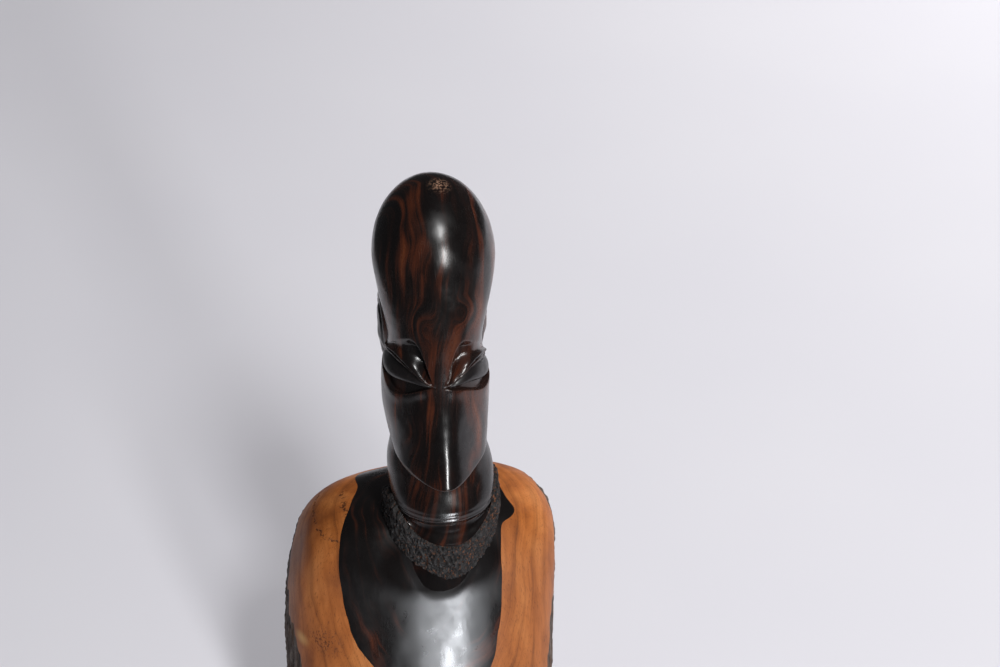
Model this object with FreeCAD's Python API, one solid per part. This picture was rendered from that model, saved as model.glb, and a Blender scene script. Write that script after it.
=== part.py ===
import FreeCAD, Part
import math
import os

# Carved ancestor figure: a long-headed, bearded elder cut from one short log.
# The wood has three zones, and each carved member or zone is its own solid:
# dark heartwood in the middle, orange sapwood around it, grey rind outside.
# Millimetres. The origin is the middle of the sawn base, +Z is up and the
# figure looks along -Y, so "right" is the figure's own right, towards -X.

# ---------------------------------------------------------------- log and torso
# Horizontal sections of the torso, from the sawn base to the top of the
# shoulders: height, middle in x, half width, reach to the front, reach to the
# back, squareness (2 is an ellipse).
TORSO = [
    (0, 0.4, 63.0, 57.5, 52.4, 2.3),
    (24, 0.4, 63.2, 57.9, 52.8, 2.3),
    (46, 0.4, 63.5, 56.6, 53.2, 2.3),
    (68, 0.5, 63.8, 52.6, 53.5, 2.3),
    (88, 0.8, 63.7, 46.8, 53.5, 2.4),
    (107, 1.6, 63.4, 40.0, 53.0, 2.5),
    (126, 3.0, 62.6, 33.0, 52.0, 2.6),
    (141, 4.6, 61.1, 28.0, 50.0, 2.7),
    (152, 5.7, 58.7, 25.0, 46.5, 2.7),
    (160, 5.9, 55.0, 22.5, 42.0, 2.6),
    (166, 5.8, 49.5, 20.5, 37.0, 2.5),
    (171, 5.8, 40.8, 18.0, 31.0, 2.4),
    (174.5, 6.0, 29.0, 15.0, 24.0, 2.2),
]
# The zones run up the log as upright prisms, so their outlines hold at every
# height: angle from straight ahead towards the figure's left, and radius.
PITH_X = 1.5
PITH_FORWARD = 7.0
HEARTWOOD_OUTLINE = [
    (180, 38.0), (205, 40.5), (218, 42.0), (227, 36.5), (240, 33.8), (257, 34.0),
    (270, 37.1), (284, 40.7), (298, 42.2), (315, 41.0), (338, 41.0), (360, 41.5),
    (385, 42.0), (400, 41.4), (413, 39.2), (424, 36.8), (434, 34.9), (440, 36.6),
    (447, 40.6), (454, 39.2), (475, 39.8), (505, 39.0),
]
UNDER_RIND_HALF_WIDTH = 61.2
UNDER_RIND_FRONT = 64.0
UNDER_RIND_BACK = 50.4
ZONE_BOTTOM = -5.0
ZONE_TOP = 200.0
SAPWOOD_SEAM_X = 4.0
RIND_BACK_HALF_WIDTH = 36.0

# ---------------------------------------------------------------- neck and jaw
# height, middle in x, half width, front, back, squareness
NECK = [
    (128, 6.5, 25.0, 22.0, 25.0, 2.0),
    (143, 7.0, 24.6, 27.0, 22.5, 2.0),
    (158, 8.0, 23.6, 27.2, 20.0, 2.0),
    (173, 9.0, 22.8, 25.5, 18.5, 2.0),
    (185.5, 9.4, 22.3, 24.2, 18.1, 2.0),
]
MOUTH_HEIGHT = 185.5
FACE_UNDERSIDE = 221.0
MUZZLE = [
    (MOUTH_HEIGHT, 9.4, 22.9, 30.4, 18.0, 2.1),
    (189, 9.4, 23.1, 30.8, 18.0, 2.1),
    (193, 9.3, 23.3, 29.8, 17.7, 2.1),
    (200, 8.9, 23.3, 26.4, 17.0, 2.1),
    (207, 8.3, 22.5, 24.0, 16.2, 2.1),
    (214, 7.7, 20.8, 22.8, 15.4, 2.1),
    (FACE_UNDERSIDE, 7.2, 19.2, 22.0, 14.6, 2.1),
]
LOWER_LIP = [
    (173, 9.4, 22.6, 32.4, 12.0, 2.1),
    (177, 9.4, 22.4, 32.2, 12.0, 2.1),
    (181, 9.4, 22.0, 30.4, 12.0, 2.1),
    (MOUTH_HEIGHT, 9.4, 21.8, 29.8, 12.0, 2.1),
]
LIP_LOWEST = 175.0
LIP_FRONT = 32.0
LIP_RISE = 0.75
BEARD = [
    (149, 9.0, 16.0, 29.4, 12.0, 2.0),
    (154, 9.0, 20.5, 31.4, 14.0, 2.0),
    (161, 9.0, 24.0, 32.4, 16.0, 2.0),
    (170, 9.1, 25.4, 32.8, 18.0, 2.0),
    (180, 9.2, 26.1, 32.6, 20.0, 2.05),
    (190, 9.2, 25.2, 31.9, 19.0, 2.05),
    (205, 8.2, 24.4, 28.0, 18.0, 2.05),
    (FACE_UNDERSIDE, 7.0, 21.6, 23.6, 15.6, 2.05),
]
BEARD_POINT_FRONT = 32.0
BEARD_POINT_HEIGHT = 152.0
BEARD_LOWER_SLOPE = 1.0
BEARD_BACK = -2.0
WHISKER_FRONT = 24.0
WHISKER_HEIGHT = 188.0
WHISKER_SLOPE = 0.8

# ---------------------------------------------------------------- head
# height, middle in x, half width, front, back, nose reach beyond the front
HEAD = [
    (FACE_UNDERSIDE, 7.2, 20.4, 31.5, 14.5, 17.6),
    (229, 7.0, 21.8, 30.4, 15.6, 13.2),
    (238, 6.7, 22.7, 29.8, 17.2, 8.6),
    (247, 6.7, 22.9, 30.0, 19.4, 4.4),
    (255, 6.7, 22.2, 30.2, 21.8, 1.4),
    (263, 6.7, 20.4, 30.0, 24.4, 0.0),
    (272, 6.9, 20.2, 28.6, 27.2, 0.0),
    (283, 7.3, 22.2, 26.2, 29.6, 0.0),
    (294, 7.7, 24.4, 23.4, 31.8, 0.0),
]
NOSE_HALF_WIDTH = 11.0
NOSE_ROUNDING = 1.6
NOSE_POWER = 1.7
FACE_SQUARENESS = 2.15
# The crown is an ellipsoid that leans back.
CROWN_MIDDLE = (7.9, -6.5, 304.0)     # x, forward, height
CROWN_HALF_WIDTH = 25.6
CROWN_LONG = 33.0
CROWN_DEEP = 25.6
CROWN_LEAN = 25.0
CROWN_STEPS = 9
CROWN_FIRST_STEP = 0.6     # where the first section lies, in steps above the widest one
CROWN_CAP = 82.0

FACE_MIDDLE_X = 6.2
EYE_HEIGHT = 260.5
EYE_SIDE = 14.5
EYE_FORWARD = 22.0
EYE_LONG = 10.5
EYE_TALL = 3.4
EYE_DEEP = 5.0
EYE_TURN = 42.0
EYE_DROP = 14.0

EAR_HEIGHT = 268.0
EAR_FORWARD = -6.0
EAR_OUT = 19.6
EAR_TALL = 21.0
EAR_WIDE = 8.5
EAR_THICK = 4.0
EAR_SPLAY = 4.0

POINTS_ROUND = 40
SEAM_SHIFT = 13
BIG = 200.0


def ring(height, points):
    """A smooth closed curve through points given as (x, forward)."""
    vectors = [FreeCAD.Vector(x, -forward, height) for x, forward in points]
    curve = Part.BSplineCurve()
    curve.interpolate(Points=vectors, PeriodicFlag=True)
    return Part.Wire([curve.toShape()])


def rounded_section(row, nose=0.0):
    """The outline of one horizontal section, as (x, forward) points."""
    height, middle_x, half_width, front, back, squareness = row
    middle = (front - back) / 2
    depth = (front + back) / 2
    points = []
    for step in range(POINTS_ROUND):
        angle = 2 * math.pi * (step + SEAM_SHIFT) / POINTS_ROUND
        side = math.sin(angle)
        ahead = math.cos(angle)
        x = half_width * math.copysign(abs(side) ** (2 / squareness), side)
        forward = middle + depth * math.copysign(abs(ahead) ** (2 / squareness), ahead)
        if nose and ahead > 0:
            off_ridge = math.hypot(x, NOSE_ROUNDING)
            forward += nose * math.exp(-(off_ridge / NOSE_HALF_WIDTH) ** NOSE_POWER)
        points.append((middle_x + x, forward))
    return ring(height, points)


def loft(rows):
    """A solid through horizontal sections."""
    return Part.makeLoft([rounded_section(row) for row in rows], True)


def half_space(forward, height, slope, above):
    """Everything above or below a plane that rises towards the back.

    The plane holds the line at that forward reach and height, and it rises by
    slope for each millimetre towards the back.
    """
    block = Part.makeBox(2 * BIG, 2 * BIG, BIG)
    block.translate(FreeCAD.Vector(-BIG, -BIG, 0 if above else -BIG))
    tilt = math.degrees(math.atan(slope))
    block.rotate(FreeCAD.Vector(0, 0, 0), FreeCAD.Vector(1, 0, 0), tilt)
    block.translate(FreeCAD.Vector(0, -forward, height))
    return block


def slab(low_x, high_x):
    """Everything between two upright planes across x."""
    block = Part.makeBox(high_x - low_x, 2 * BIG, 2 * BIG)
    block.translate(FreeCAD.Vector(low_x, -BIG, -BIG / 2))
    return block


def prism(points):
    """An upright prism up the whole log, from (x, forward) points."""
    face = Part.Face(ring(ZONE_BOTTOM, points))
    return face.extrude(FreeCAD.Vector(0, 0, ZONE_TOP - ZONE_BOTTOM))


def ellipsoid(half_x, half_y, half_z):
    """An ellipsoid about the origin."""
    ball = Part.makeSphere(1.0)
    stretch = FreeCAD.Matrix()
    stretch.scale(half_x, half_y, half_z)
    return ball.transformGeometry(stretch)


def heartwood_prism():
    points = []
    for degrees, radius in HEARTWOOD_OUTLINE:
        angle = math.radians(degrees)
        points.append((PITH_X + radius * math.sin(angle), PITH_FORWARD + radius * math.cos(angle)))
    return prism(points)


def under_rind_prism():
    """The log without its rough outer rind."""
    points = []
    for step in range(POINTS_ROUND):
        angle = 2 * math.pi * (step + SEAM_SHIFT) / POINTS_ROUND
        reach = UNDER_RIND_FRONT if math.cos(angle) > 0 else UNDER_RIND_BACK
        points.append((PITH_X + UNDER_RIND_HALF_WIDTH * math.sin(angle), reach * math.cos(angle)))
    return prism(points)


def make_crown_rows():
    """Level sections of the ellipsoid that leans back, from the brow up."""
    middle_x, middle_forward, middle_height = CROWN_MIDDLE
    lean = math.radians(CROWN_LEAN)
    tall = math.hypot(CROWN_LONG * math.cos(lean), CROWN_DEEP * math.sin(lean))
    drift = (CROWN_LONG ** 2 - CROWN_DEEP ** 2) * math.sin(lean) * math.cos(lean) / tall ** 2
    rows = []
    for step in range(CROWN_STEPS):
        angle = math.radians(CROWN_CAP * (step + CROWN_FIRST_STEP) / (CROWN_STEPS - 1 + CROWN_FIRST_STEP))
        rise = tall * math.sin(angle)
        depth = CROWN_LONG * CROWN_DEEP / tall * math.cos(angle)
        centre = middle_forward - drift * rise
        half_width = CROWN_HALF_WIDTH * math.cos(angle)
        rows.append((middle_height + rise, middle_x, half_width, centre + depth, depth - centre, 2.0))
    return rows


def make_head_block():
    """Crown, brow and wedge-shaped mid-face in one loft, without its eyes."""
    wires = []
    for height, middle_x, half_width, front, back, nose in HEAD:
        wires.append(rounded_section((height, middle_x, half_width, front, back, FACE_SQUARENESS), nose))
    for row in make_crown_rows():
        wires.append(rounded_section(row))
    return Part.makeLoft(wires, True)


def make_eye(side):
    """A long narrow lens that dips towards the nose; side is -1 for the right eye."""
    eye = ellipsoid(EYE_LONG, EYE_DEEP, EYE_TALL)
    eye.rotate(FreeCAD.Vector(0, 0, 0), FreeCAD.Vector(0, 1, 0), -side * EYE_DROP)
    eye.rotate(FreeCAD.Vector(0, 0, 0), FreeCAD.Vector(0, 0, 1), side * EYE_TURN)
    eye.translate(FreeCAD.Vector(FACE_MIDDLE_X + side * EYE_SIDE, -EYE_FORWARD, EYE_HEIGHT))
    return eye


def make_ear(side, head):
    """A thin upright leaf against the side of the head."""
    ear = ellipsoid(EAR_THICK, EAR_WIDE, EAR_TALL)
    ear.rotate(FreeCAD.Vector(0, 0, 0), FreeCAD.Vector(0, 1, 0), side * EAR_SPLAY)
    ear.translate(FreeCAD.Vector(FACE_MIDDLE_X + side * EAR_OUT, -EAR_FORWARD, EAR_HEIGHT))
    return ear.cut(head)


def make_lower_lip(neck):
    lip = loft(LOWER_LIP)
    above = half_space(LIP_FRONT, LIP_LOWEST, LIP_RISE, True)
    return lip.common(above).cut(neck)


def make_beard(muzzle, lip, neck):
    """The band round the jaw from side to side, lowest under the chin."""
    beard = loft(BEARD)
    beard = beard.common(half_space(BEARD_POINT_FRONT, BEARD_POINT_HEIGHT, BEARD_LOWER_SLOPE, True))
    beard = beard.common(half_space(WHISKER_FRONT, WHISKER_HEIGHT, WHISKER_SLOPE, False))
    behind = Part.makeBox(2 * BIG, BIG, 3 * BIG)
    behind.translate(FreeCAD.Vector(-BIG, -BEARD_BACK, -BIG))
    beard = beard.cut(behind)
    return beard.cut(muzzle).cut(lip).cut(neck)


def biggest(shape):
    """The largest solid of a shape; the rest are crumbs left by a cut."""
    return max(shape.Solids, key=lambda solid: solid.Volume)


def save(name, shape):
    solid = biggest(shape)
    crumbs = sum(other.Volume for other in shape.Solids) - solid.Volume
    box = solid.BoundBox
    print("%-18s %8.0f mm3  crumbs %6.1f  valid %s  x %.1f..%.1f  y %.1f..%.1f  z %.1f..%.1f" % (
        name, solid.Volume, crumbs, solid.isValid(),
        box.XMin, box.XMax, box.YMin, box.YMax, box.ZMin, box.ZMax))
    solid.exportStep("parts/%s.step" % name)


def main():
    os.makedirs("parts", exist_ok=True)
    torso = loft(TORSO)
    neck = loft(NECK)
    heartwood = heartwood_prism()
    inside_rind = under_rind_prism()

    save("torso_heartwood", torso.common(heartwood).cut(neck))
    sapwood = torso.common(inside_rind).cut(heartwood)
    save("sapwood_right", sapwood.common(slab(-BIG, SAPWOOD_SEAM_X)))
    save("sapwood_left", sapwood.common(slab(SAPWOOD_SEAM_X, BIG)))
    rind = torso.cut(inside_rind)
    save("rind_right", rind.common(slab(-BIG, -RIND_BACK_HALF_WIDTH)))
    save("rind_back", rind.common(slab(-RIND_BACK_HALF_WIDTH, RIND_BACK_HALF_WIDTH)))
    save("rind_left", rind.common(slab(RIND_BACK_HALF_WIDTH, BIG)))

    save("neck", neck)
    muzzle = loft(MUZZLE)
    save("muzzle", muzzle)
    lower_lip = make_lower_lip(neck)
    save("lower_lip", lower_lip)
    save("beard", make_beard(muzzle, lower_lip, neck))

    head = make_head_block()
    for side, name in ((-1, "right"), (1, "left")):
        eye = make_eye(side)
        save("ear_" + name, make_ear(side, head))
        head = head.cut(eye)
        save("eye_" + name, eye)
    save("head", head)


main()
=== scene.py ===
import math

import bpy
import numpy as np
from mathutils import Matrix, Vector


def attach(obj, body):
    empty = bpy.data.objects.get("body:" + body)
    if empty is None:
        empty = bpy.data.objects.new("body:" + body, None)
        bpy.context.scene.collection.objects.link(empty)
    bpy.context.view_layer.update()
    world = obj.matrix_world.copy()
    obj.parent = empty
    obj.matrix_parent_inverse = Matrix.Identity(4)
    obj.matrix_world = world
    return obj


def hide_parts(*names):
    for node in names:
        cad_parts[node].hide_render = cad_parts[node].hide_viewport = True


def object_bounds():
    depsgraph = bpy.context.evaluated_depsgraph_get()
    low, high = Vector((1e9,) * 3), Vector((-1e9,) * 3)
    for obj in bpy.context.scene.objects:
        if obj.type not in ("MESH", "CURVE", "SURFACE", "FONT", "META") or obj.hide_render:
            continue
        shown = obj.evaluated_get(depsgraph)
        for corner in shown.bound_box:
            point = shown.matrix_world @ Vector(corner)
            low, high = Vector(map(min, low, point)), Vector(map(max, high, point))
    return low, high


# Looks of the carved ancestor figure. Shapes are worked out in the figure's own
# millimetres as (x, forward, height) and turned into metres in the frame at the end.
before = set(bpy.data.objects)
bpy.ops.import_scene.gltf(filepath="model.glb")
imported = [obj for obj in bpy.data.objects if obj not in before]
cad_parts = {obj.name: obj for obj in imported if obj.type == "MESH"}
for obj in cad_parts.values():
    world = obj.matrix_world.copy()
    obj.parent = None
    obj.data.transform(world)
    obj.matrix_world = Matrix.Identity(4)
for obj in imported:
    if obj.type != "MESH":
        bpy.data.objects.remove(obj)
cad_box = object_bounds()
FIGURE_HEIGHT = 335.5
UNIT = (cad_box[1].z - cad_box[0].z) / FIGURE_HEIGHT
ORIGIN = Vector((0, 0, cad_box[0].z))

# ---- sections
# height, middle in x, half width, front, back, corner fullness
TORSO = [
    (0, 0.4, 63.0, 57.5, 52.4, 0.05),
    (24, 0.4, 63.2, 57.9, 52.8, 0.05),
    (46, 0.4, 63.5, 56.6, 53.2, 0.05),
    (68, 0.5, 63.8, 52.6, 53.5, 0.05),
    (88, 0.8, 63.7, 46.8, 53.5, 0.06),
    (107, 1.6, 63.4, 40.0, 53.0, 0.07),
    (126, 3.0, 62.6, 33.0, 52.0, 0.08),
    (141, 4.6, 61.1, 28.0, 50.0, 0.09),
    (152, 5.7, 58.7, 25.0, 46.5, 0.09),
    (160, 5.9, 55.0, 22.5, 42.0, 0.08),
    (166, 5.8, 49.5, 20.5, 37.0, 0.07),
    (171, 5.8, 40.8, 18.0, 31.0, 0.06),
    (174.5, 6.0, 29.0, 15.0, 24.0, 0.03),
]
NECK = [
    (128, 6.5, 25.0, 22.0, 25.0, 0.0),
    (143, 7.0, 24.6, 27.0, 22.5, 0.0),
    (158, 8.0, 23.6, 27.2, 20.0, 0.0),
    (173, 9.0, 22.8, 25.5, 18.5, 0.0),
    (188, 9.2, 22.2, 22.0, 17.4, 0.0),
    (205, 8.2, 20.6, 18.0, 16.2, 0.0),
    (228, 7.0, 18.0, 16.0, 14.6, 0.0),
]
MUZZLE = [
    (185.5, 9.4, 22.9, 30.4, 15.0, 0.015),
    (189, 9.4, 23.1, 30.8, 15.0, 0.015),
    (193, 9.3, 23.3, 29.8, 15.0, 0.015),
    (200, 8.9, 23.3, 26.4, 14.5, 0.015),
    (207, 8.3, 22.5, 24.0, 14.0, 0.015),
    (214, 7.7, 20.8, 22.8, 13.4, 0.015),
    (223, 7.2, 18.8, 22.0, 12.6, 0.015),
]
BEARD = [
    (149, 9.0, 16.0, 29.4, 12.0, 0.0),
    (154, 9.0, 20.5, 31.4, 14.0, 0.0),
    (161, 9.0, 24.0, 32.4, 16.0, 0.0),
    (170, 9.1, 25.4, 32.8, 18.0, 0.0),
    (180, 9.2, 26.1, 32.6, 20.0, 0.01),
    (190, 9.2, 25.2, 31.9, 19.0, 0.01),
    (205, 8.2, 24.4, 28.0, 18.0, 0.01),
    (221, 7.0, 21.6, 23.6, 15.6, 0.01),
]
# the last column is how far the nose ridge stands beyond the front
HEAD = [
    (221, 7.2, 20.4, 31.5, 14.5, 0.10, 17.6),
    (229, 7.0, 21.8, 30.4, 15.6, 0.05, 13.2),
    (238, 6.7, 22.7, 29.8, 17.2, 0.04, 8.6),
    (247, 6.7, 22.9, 30.0, 19.4, 0.03, 4.4),
    (255, 6.7, 22.2, 30.2, 21.8, 0.01, 1.4),
    (263, 6.7, 20.4, 30.0, 24.4, 0.0, 0.0),
    (272, 6.9, 20.2, 28.6, 27.2, 0.0, 0.0),
    (283, 7.3, 22.2, 26.2, 29.6, 0.0, 0.0),
    (294, 7.7, 24.4, 23.4, 31.8, 0.0, 0.0),
]
CROWN_MIDDLE = (7.9, -6.5, 304.0)
CROWN_HALF_WIDTH = 25.6
CROWN_LONG = 33.0
CROWN_DEEP = 25.6
CROWN_LEAN = 25.0
BROW_HEIGHT = 258.0
NOSE_TIP_SHIFT = -2.7
NOSE_WIDTH_TIP = 14.0
NOSE_WIDTH_BRIDGE = 9.0
NOSE_POWER = 2.1
NOSE_ROUNDING = 1.6

# ---- wood zones
PITH_X = 1.5
PITH_FORWARD = 7.0
HEARTWOOD_OUTLINE = [
    (180, 38.0), (205, 40.5), (218, 42.0), (227, 36.5), (240, 33.8), (257, 34.0),
    (270, 37.1), (284, 40.7), (298, 42.2), (315, 41.0), (338, 41.0), (360, 41.5),
    (385, 42.0), (400, 41.4), (413, 39.2), (424, 36.8), (434, 34.9), (440, 36.6),
    (447, 40.6), (454, 39.2), (475, 39.8), (505, 39.0), (540, 38.0),
]
UNDER_RIND_HALF_WIDTH = 61.2
UNDER_RIND_FRONT = 64.0
UNDER_RIND_BACK = 50.4
SAPWOOD_SEAM_X = 4.0
RIND_BACK_HALF_WIDTH = 36.0
RIND_MEAN_REACH = 56.0

# ---- eyes
# Each line of the eye fan: degrees out from the inner corner, and height.
EYES = {
    "right": {
        "corner": -15.0,
        "cheek": [(0, 260.0), (5, 259.6), (25, 255.3), (40, 252.7), (55, 252.9), (68, 255.5), (98, 258.5)],
        "lid": [(0, 260.3), (6, 260.3), (24, 259.9), (43, 257.9), (56, 256.4), (68, 255.7), (98, 258.7)],
        "crease": [(0, 260.7), (12, 262.8), (27, 264.6), (42, 265.1), (60, 264.4), (76, 262.3), (98, 259.2)],
        "fold": [(0, 261.3), (8, 262.4), (21, 266.4), (34, 269.0), (48, 269.8), (66, 267.2), (98, 260.0)],
        "brow": [(-4, 261.2), (0, 263.6), (4, 267.2), (9, 273.0), (15, 278.4), (21, 280.6), (28, 280.0),
                 (45, 276.0), (60, 271.4), (76, 267.4), (98, 260.6)],
    },
    "left": {
        "corner": 4.0,
        "cheek": [(0, 259.6), (8, 258.9), (21, 257.2), (41, 252.9), (54, 251.6), (68, 252.3), (98, 253.2)],
        "lid": [(0, 260.3), (8, 260.2), (31, 258.9), (46, 256.3), (58, 254.3), (68, 253.0), (98, 253.4)],
        "crease": [(0, 260.6), (9, 262.2), (17, 263.2), (30, 264.2), (45, 263.7), (62, 261.0), (81, 257.6),
                   (98, 254.0)],
        "fold": [(0, 261.4), (12, 264.4), (27, 268.3), (40, 268.8), (58, 266.0), (80, 260.4), (98, 254.8)],
        "brow": [(-5, 262.0), (-1, 266.2), (3, 271.0), (8, 276.4), (13, 279.4), (19, 280.2), (28, 278.8),
                 (48, 274.4), (64, 269.4), (80, 263.6), (98, 255.6)],
    },
}
EYE_END = 98.0
EYE_FADE_START = 64.0
# depths and heights of the folds round the eyes, in millimetres
SOCKET_DEEP = 3.3
ROLL_HIGH = 0.8
RIDGE_HIGH = 0.95
SECOND_RIDGE_HIGH = 0.55
VALLEY_DEEP = 0.9
CREASE_DEEP = 1.5
EYE_BED_DEEP = 1.9
SLIT_DEEP = 1.7
CHEEK_PROUD = 0.5


# ---- small maths
def spline(knots, values, at):
    """Natural cubic through the knots and their rows of values, read at the places in at."""
    gap = np.diff(knots)
    count = len(knots)
    matrix = np.eye(count)
    right = np.zeros(values.shape)
    slope = (np.diff(values, axis=0).T / gap).T
    for i in range(1, count - 1):
        matrix[i, i - 1:i + 2] = gap[i - 1], 2 * (gap[i - 1] + gap[i]), gap[i]
        right[i] = 6 * (slope[i] - slope[i - 1])
    bend = np.linalg.solve(matrix, right)
    i = np.clip(np.searchsorted(knots, at, side="right") - 1, 0, count - 2)
    width = gap[i][..., None]
    before = (knots[i + 1] - at)[..., None] / width
    after = (at - knots[i])[..., None] / width
    straight = before * values[i] + after * values[i + 1]
    curved = (before ** 3 - before) * bend[i] + (after ** 3 - after) * bend[i + 1]
    return straight + curved * width ** 2 / 6


def rows_at(table, at):
    """Rows of a table, read between its lines at places in its first column."""
    table = np.asarray(table, float)
    return spline(table[:, 0], table, at)


def ease(low, high, value):
    """0 below low, 1 above high, smooth between."""
    t = np.clip((value - low) / (high - low), 0, 1)
    return t * t * (3 - 2 * t)


def bell(value, width):
    return np.exp(-(value / width) ** 2)


def noise(points, seed):
    """Smooth value noise from -1 to 1 at (..., 3) points, one wave per unit."""
    table = np.random.default_rng(seed).random(4096)
    flat = points.reshape(-1, 3)
    cell = np.floor(flat).astype(np.int64)
    part = flat - cell
    part = part ** 3 * (part * (part * 6 - 15) + 10)
    total = np.zeros(len(flat))
    for corner in range(8):
        step = np.array([corner & 1, corner >> 1 & 1, corner >> 2 & 1])
        at = cell + step
        key = (at[:, 0] * 73856093) ^ (at[:, 1] * 19349663) ^ (at[:, 2] * 83492791)
        total += table[key & 4095] * np.prod(np.where(step, part, 1 - part), axis=1)
    return (2 * total - 1).reshape(points.shape[:-1])


def layered(points, seed, octaves=4):
    return sum(noise(points * 2 ** k, seed + k) * 0.5 ** k for k in range(octaves))


# ---- surfaces
def side_run(table):
    """The distance up the side of a section table to each of its rows."""
    side = np.diff(table[:, [0, 2]], axis=0)
    return np.concatenate([[0], np.cumsum(np.hypot(side[:, 0], side[:, 1]))])


def evenly(table, count):
    """count rows read from a section table, evenly spaced along its side."""
    table = np.asarray(table, float)
    run = side_run(table)
    return spline(run, table, np.linspace(0, run[-1], count))


def around(count, crowd=0.0):
    """Angles from the back round to the back, packed closer to the front by crowd."""
    turn = np.linspace(-np.pi, np.pi, count, endpoint=False)
    return turn - crowd * np.sin(turn)


def section(row, angle):
    """Points on sections; row is (..., 6) and angle broadcasts with its front part."""
    z, mid_x, wide, front, back, full = [row[..., k] for k in range(6)]
    s, c = np.sin(angle), np.cos(angle)
    swell = 1 + full * np.sin(2 * angle) ** 2
    x = mid_x + wide * s * swell
    forward = (front - back) / 2 + (front + back) / 2 * c * swell
    return np.stack([x, forward, z + 0 * x], -1)


def grid_normals(points, closed=True):
    """Outward normals of a (rows, around, 3) grid that climbs with its rows."""
    if closed:
        across = np.roll(points, -1, 1) - np.roll(points, 1, 1)
    else:
        across = np.gradient(points, axis=1)
    up = np.gradient(points, axis=0)
    # forward is -Y in the frame, so the cross product turns over
    normal = np.cross(up, across)
    return normal / (np.linalg.norm(normal, axis=-1, keepdims=True) + 1e-12)


def grid_faces(rows, count, closed=True):
    """Quads of a grid, wound to face outward in the frame."""
    i = np.arange(rows - 1)[:, None]
    j = np.arange(count if closed else count - 1)[None]
    k = (j + 1) % count
    quad = [i * count + j, i * count + k, (i + 1) * count + k, (i + 1) * count + j]
    return np.stack([q.reshape(-1) for q in quad], -1)


def add_object(name, data):
    item = bpy.data.objects.new(name, data)
    bpy.context.scene.collection.objects.link(item)
    return item


def make_piece(name, points, faces, slot, node, sharp=None, **marks):
    """A mesh object from figure points and lists of faces, riding on the one body."""
    mesh = bpy.data.meshes.new(name)
    loops = np.concatenate([group.reshape(-1) for group in faces])
    sizes = np.concatenate([np.full(len(group), group.shape[1]) for group in faces])
    place = points.reshape(-1, 3) * [UNIT, -UNIT, UNIT] + np.array(ORIGIN)
    mesh.vertices.add(len(place))
    mesh.vertices.foreach_set("co", place.astype(np.float32).reshape(-1))
    mesh.loops.add(len(loops))
    mesh.loops.foreach_set("vertex_index", loops.astype(np.int32))
    mesh.polygons.add(len(sizes))
    starts = np.concatenate([[0], np.cumsum(sizes)[:-1]])
    mesh.polygons.foreach_set("loop_start", starts.astype(np.int32))
    mesh.polygons.foreach_set("use_smooth", np.ones(len(sizes), bool))
    mesh.update(calc_edges=True)
    mesh.validate()
    for mark, values in marks.items():
        layer = mesh.attributes.new(mark, "FLOAT", "POINT")
        layer.data.foreach_set("value", np.asarray(values, np.float32).reshape(-1))
    if sharp is not None:
        ends = np.zeros(len(mesh.edges) * 2, np.int32)
        mesh.edges.foreach_get("vertices", ends)
        both = sharp[ends].reshape(-1, 2).all(1)
        layer = mesh.attributes.new("sharp_edge", "BOOLEAN", "EDGE")
        layer.data.foreach_set("value", both)
    piece = add_object(name, mesh)
    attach(piece, "root")
    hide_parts(node)
    return piece


def capped(name, grid, slot, node, turned=False, **marks):
    """A closed piece from a grid of rings, its two ends closed; turned winds it the other way."""
    rows, count = grid.shape[:2]
    ring = np.arange(count)[None]
    faces = [grid_faces(rows, count), ring[:, ::-1], (rows - 1) * count + ring]
    if turned:
        faces = [group[:, ::-1] for group in faces]
    return make_piece(name, grid, faces, slot, node, **marks)


def convexity(points, closed=True):
    """How much each grid point stands out from its neighbours, per millimetre."""
    normal = grid_normals(points, closed)
    total = np.zeros(points.shape[:2])
    for axis in (0, 1):
        after, before = np.roll(points, -1, axis), np.roll(points, 1, axis)
        gap = np.linalg.norm(after - before, axis=-1) / 2 + 1e-6
        bulge = np.sum((points - (after + before) / 2) * normal, -1) / gap ** 2
        if axis == 0 or not closed:
            bulge[[0, -1]] = 0
        if axis == 1 and not closed:
            bulge[:, [0, -1]] = 0
        total += bulge
    return total


# ---- head
def crown_rows(count):
    """Level sections of the ellipsoid that leans back, from the brow up."""
    middle_x, middle_forward, middle_height = CROWN_MIDDLE
    lean = math.radians(CROWN_LEAN)
    tall = math.hypot(CROWN_LONG * math.cos(lean), CROWN_DEEP * math.sin(lean))
    drift = (CROWN_LONG ** 2 - CROWN_DEEP ** 2) * math.sin(lean) * math.cos(lean) / tall ** 2
    angle = np.radians(89.7 * (np.arange(count) + 0.3) / (count - 0.7))
    rise = tall * np.sin(angle)
    depth = CROWN_LONG * CROWN_DEEP / tall * np.cos(angle)
    centre = middle_forward - drift * rise
    zero = np.zeros(count)
    return np.stack([middle_height + rise, zero + middle_x, CROWN_HALF_WIDTH * np.cos(angle),
                     centre + depth, depth - centre, zero, zero], -1)


CROWN_SECTIONS = 14
HEAD_TABLE = np.concatenate([HEAD, crown_rows(CROWN_SECTIONS)])
HEAD_RUN = side_run(HEAD_TABLE)


def head_surface(run, angle):
    """Points of the uncarved head at a distance up its side and an angle."""
    row = spline(HEAD_RUN, HEAD_TABLE, run)
    point = section(row, angle)
    low = np.clip((BROW_HEIGHT - row[..., 0]) / (BROW_HEIGHT - HEAD[0][0]), 0, 1)
    off_ridge = point[..., 0] - row[..., 1] - NOSE_TIP_SHIFT * low
    width = NOSE_WIDTH_BRIDGE + (NOSE_WIDTH_TIP - NOSE_WIDTH_BRIDGE) * low
    ridge = np.exp(-(np.hypot(off_ridge, NOSE_ROUNDING) / width) ** NOSE_POWER)
    point[..., 1] += np.where(np.cos(angle) > 0, row[..., 6] * ridge, 0)
    return point


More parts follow.
